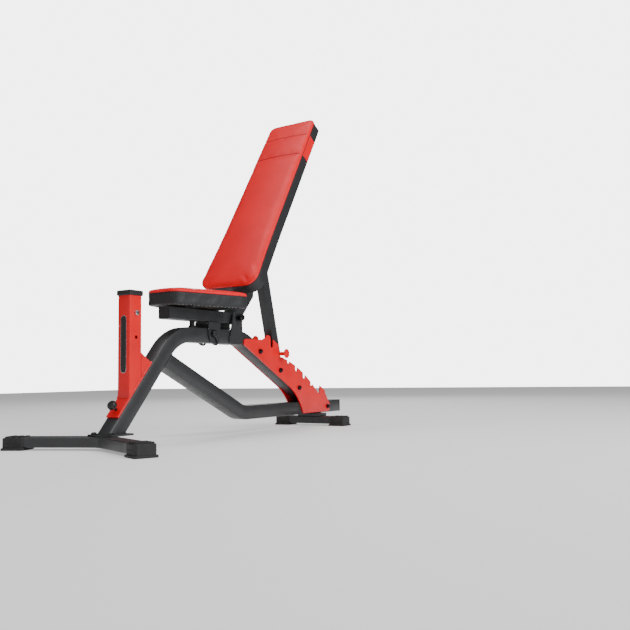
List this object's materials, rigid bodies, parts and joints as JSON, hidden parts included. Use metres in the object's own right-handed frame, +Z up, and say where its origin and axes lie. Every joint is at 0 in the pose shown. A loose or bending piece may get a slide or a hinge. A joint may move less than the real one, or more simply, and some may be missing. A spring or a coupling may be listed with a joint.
{
  "type": "adjustable weight bench",
  "caption": "Adjustable weight bench with a padded seat that tilts, a reclining back held by a notched strut, and a front socket post for accessories.",
  "frame": {"origin": "middle of the bench's outline on the floor, under it", "axes": "+Z up, +Y from the seat towards the back end, X across the bench"},
  "size_m": [0.5828, 1.4598, 1.2439],
  "materials": {
    "frame_paint": "graphite powder coat, satin",
    "red_paint": "red powder coat, satin",
    "red_vinyl": "soft red vinyl",
    "black_plastic": "moulded black plastic",
    "rubber": "ribbed black rubber",
    "black_steel": "blackened fasteners",
    "zinc": "bright zinc",
    "plywood": "dark stained plywood board"
  },
  "bodies": {
    "frame": {"main_tube": "frame_paint", "lower_beam": "frame_paint", "beam_end_cap": "black_plastic", "front_foot_bar": "frame_paint", "rear_foot_bar": "frame_paint", "front_shoe_right": "rubber", "front_shoe_left": "rubber", "rear_shoe_right": "rubber", "rear_shoe_left": "rubber", "front_foot_plate": "frame_paint", "rear_foot_mount": "frame_paint", "front_foot_bolt_1": "black_steel", "front_foot_bolt_2": "black_steel", "ratchet_plate_left": "red_paint", "ratchet_plate_right": "red_paint", "ratchet_bolt_1": "black_steel", "ratchet_bolt_2": "black_steel", "ratchet_bolt_3": "black_steel", "ratchet_bolt_4": "black_steel", "pivot_plate_left": "frame_paint", "pivot_plate_right": "frame_paint", "pivot_bolt": "black_steel", "post_tube": "red_paint", "post_flange": "red_paint", "post_gusset_left": "red_paint", "post_gusset_right": "red_paint", "post_collar": "black_plastic", "post_flange_bolt": "black_steel", "seat_clamp_bolt": "black_steel", "seat_stop": "rubber"},
    "lock_pin": {"post_lock_pin": "zinc"},
    "post_knob": {"post_clamp_knob": "black_plastic"},
    "seat": {"seat_tube": "frame_paint", "seat_tube_plug": "black_plastic", "seat_cross_strip_1": "frame_paint", "seat_cross_strip_2": "frame_paint", "seat_board": "plywood", "seat_pad": "red_vinyl", "seat_saddle": "frame_paint"},
    "seat_nut": {"seat_clamp_nut": "black_plastic"},
    "back": {"back_tube": "frame_paint", "back_tube_cap": "black_plastic", "back_lug_left": "frame_paint", "back_lug_right": "frame_paint", "strut_lug_left": "frame_paint", "strut_lug_right": "frame_paint", "strut_pivot_bolt": "black_steel", "back_pad": "red_vinyl", "back_board": "plywood", "back_cross_strip_1": "frame_paint", "back_strip_screw_1": "zinc", "back_strip_screw_2": "zinc", "back_cross_strip_2": "frame_paint", "back_strip_screw_3": "zinc", "back_strip_screw_4": "zinc"},
    "strut": {"strut_tube": "frame_paint", "strut_rod": "red_paint", "rod_disc_left": "red_paint", "rod_disc_right": "red_paint"}
  },
  "joints": [
    {"name": "back_recline", "type": "hinge", "parent": "frame", "child": "back", "pos_m": [0, 0.00294, 0.412], "axis": [-1, 0, 0], "range_deg": [0, 58]},
    {"name": "strut_swing", "type": "hinge", "parent": "back", "child": "strut", "pos_m": [0, 0.17707, 0.63605], "axis": [-1, 0, 0], "range_deg": [-91.65, 1]},
    {"name": "seat_tilt", "type": "hinge", "parent": "frame", "child": "seat", "pos_m": [0, 0.00294, 0.412], "axis": [-1, 0, 0], "range_deg": [0, 12]},
    {"name": "lock_pin_slide", "type": "slide", "parent": "frame", "child": "lock_pin", "axis": [1, 0, 0], "range_m": [0, 0.06]},
    {"name": "post_knob_turn", "type": "hinge", "parent": "frame", "child": "post_knob", "pos_m": [0, -0.54904, 0.11935], "axis": [0, -0.7638, 0.6455], "continuous": true},
    {"name": "seat_nut_turn", "type": "hinge", "parent": "frame", "child": "seat_nut", "pos_m": [0.034, -0.13406, 0.35], "axis": [1, 0, 0], "continuous": true}
  ],
  "couplings": [
    {"joint": "strut_swing", "follows": "back_recline", "ratio": -1.563}
  ]
}
